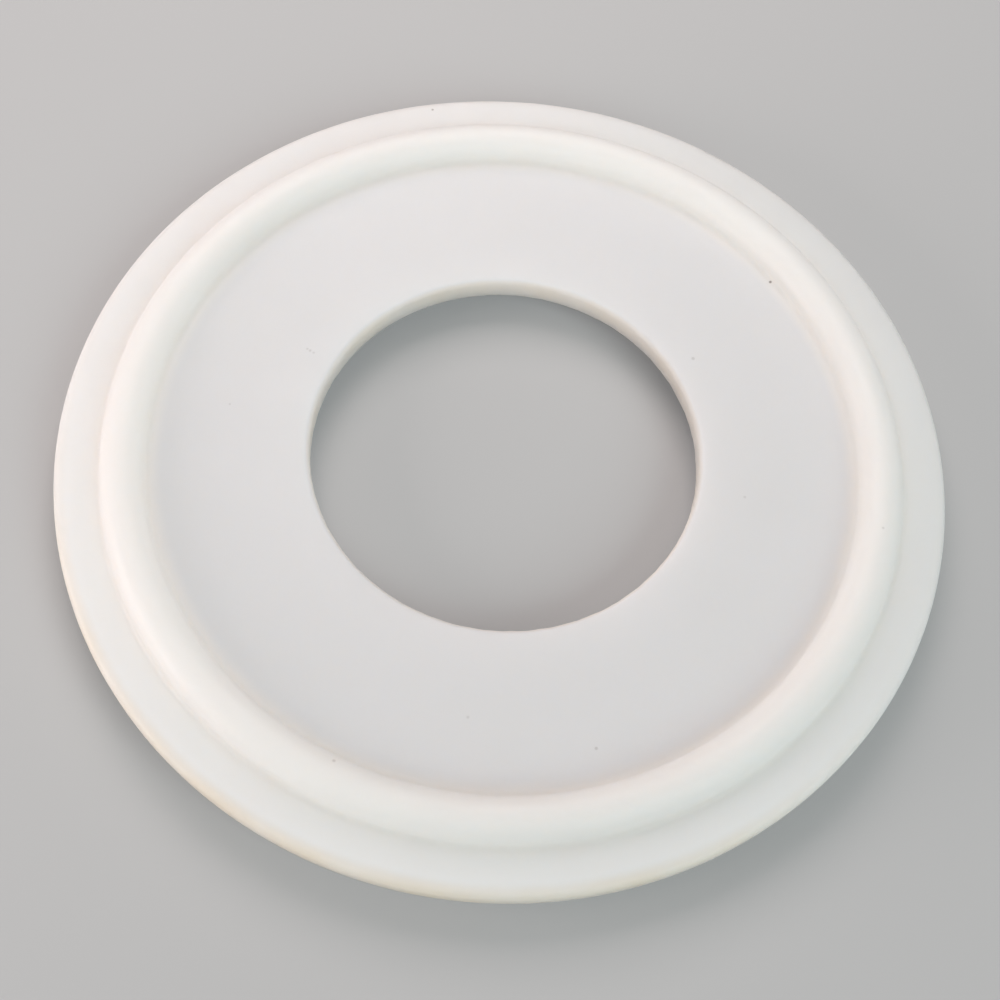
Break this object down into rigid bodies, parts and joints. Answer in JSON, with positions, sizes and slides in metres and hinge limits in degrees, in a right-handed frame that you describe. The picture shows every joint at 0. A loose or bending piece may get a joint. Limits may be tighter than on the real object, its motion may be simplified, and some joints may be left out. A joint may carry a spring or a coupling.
{
  "type": "sanitary clamp gasket",
  "caption": "Flat round PTFE gasket with a rounded bead on each face, for a 1 inch sanitary clamp joint.",
  "frame": {"origin": "centre of the ring on the bore's axis, halfway through the thickness", "axes": "+Z along the bore's axis, square to the faces; +X and +Y are alike"},
  "size_m": [0.0506, 0.0506, 0.0042],
  "materials": {
    "ptfe": "satin white PTFE, slightly translucent, with a few small dark specks"
  },
  "bodies": {
    "root": {"gasket": "ptfe"}
  },
  "joints": []
}
